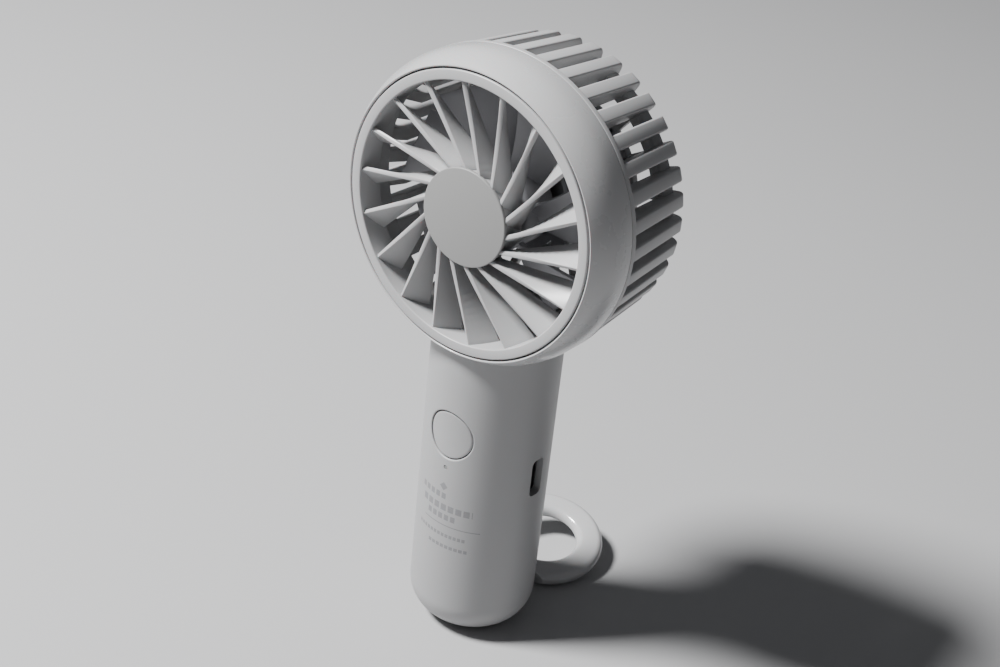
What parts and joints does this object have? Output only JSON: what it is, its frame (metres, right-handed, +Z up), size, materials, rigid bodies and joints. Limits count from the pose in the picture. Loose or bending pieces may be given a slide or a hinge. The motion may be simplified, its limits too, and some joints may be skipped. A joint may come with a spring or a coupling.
{
  "type": "handheld fan",
  "caption": "Handheld mini fan with a ribbed round head, swept vane grille, round battery handle, push button and a folding carry ring.",
  "frame": {"origin": "centre of the flat foot under the handle, on the handle's axis", "axes": "+Z up along the handle, the fan blows towards -Y, the charging socket is on the +X side"},
  "size_m": [0.069, 0.0618, 0.1435],
  "materials": {
    "shell_white": "satin white moulded plastic",
    "hub_grey": "matt pale grey moulded plastic",
    "blade_grey": "matt grey moulded plastic",
    "steel": "plain steel",
    "bronze": "sintered bronze and copper",
    "board_green": "green circuit board",
    "black_plastic": "matt black plastic",
    "cell_wrap": "cell in a coloured sleeve, given a light metal's density",
    "lens_clear": "clear light guide",
    "wire_red": "insulated lead",
    "foam": "foam pad"
  },
  "bodies": {
    "housing": {"front_bezel": "shell_white", "front_grille": "shell_white", "hub_cap": "hub_grey", "rear_cage": "shell_white", "motor_can": "steel", "motor_end_cap": "black_plastic", "motor_magnets": "black_plastic", "motor_bushes": "bronze", "motor_retainer": "steel", "motor_screws": "steel", "motor_leads": "wire_red", "handle_front_shell": "shell_white", "handle_rear_cover": "shell_white", "neck_screws": "steel", "switch_body": "black_plastic", "led_lens": "lens_clear", "circuit_board": "board_green", "board_chips": "black_plastic", "usb_socket": "steel", "usb_tongue": "black_plastic", "battery_cell": "cell_wrap", "battery_pad": "foam", "battery_tabs": "steel", "hinge_pin": "steel"},
    "rotor": {"impeller": "blade_grey", "motor_shaft": "steel", "motor_armature": "bronze"},
    "button": {"power_button": "shell_white", "switch_plunger": "black_plastic"},
    "ring": {"carry_ring": "shell_white"}
  },
  "joints": [
    {"name": "impeller_spin", "type": "hinge", "parent": "housing", "child": "rotor", "pos_m": [0, 0, 0.109], "axis": [0, 1, 0], "continuous": true},
    {"name": "button_press", "type": "slide", "parent": "housing", "child": "button", "axis": [0, 1, 0], "range_m": [0, 0.0005], "stiffness_N_per_m": 1200},
    {"name": "ring_fold", "type": "hinge", "parent": "housing", "child": "ring", "pos_m": [0, 0.0174, 0.003], "axis": [1, 0, 0], "range_deg": [-25, 40]}
  ]
}
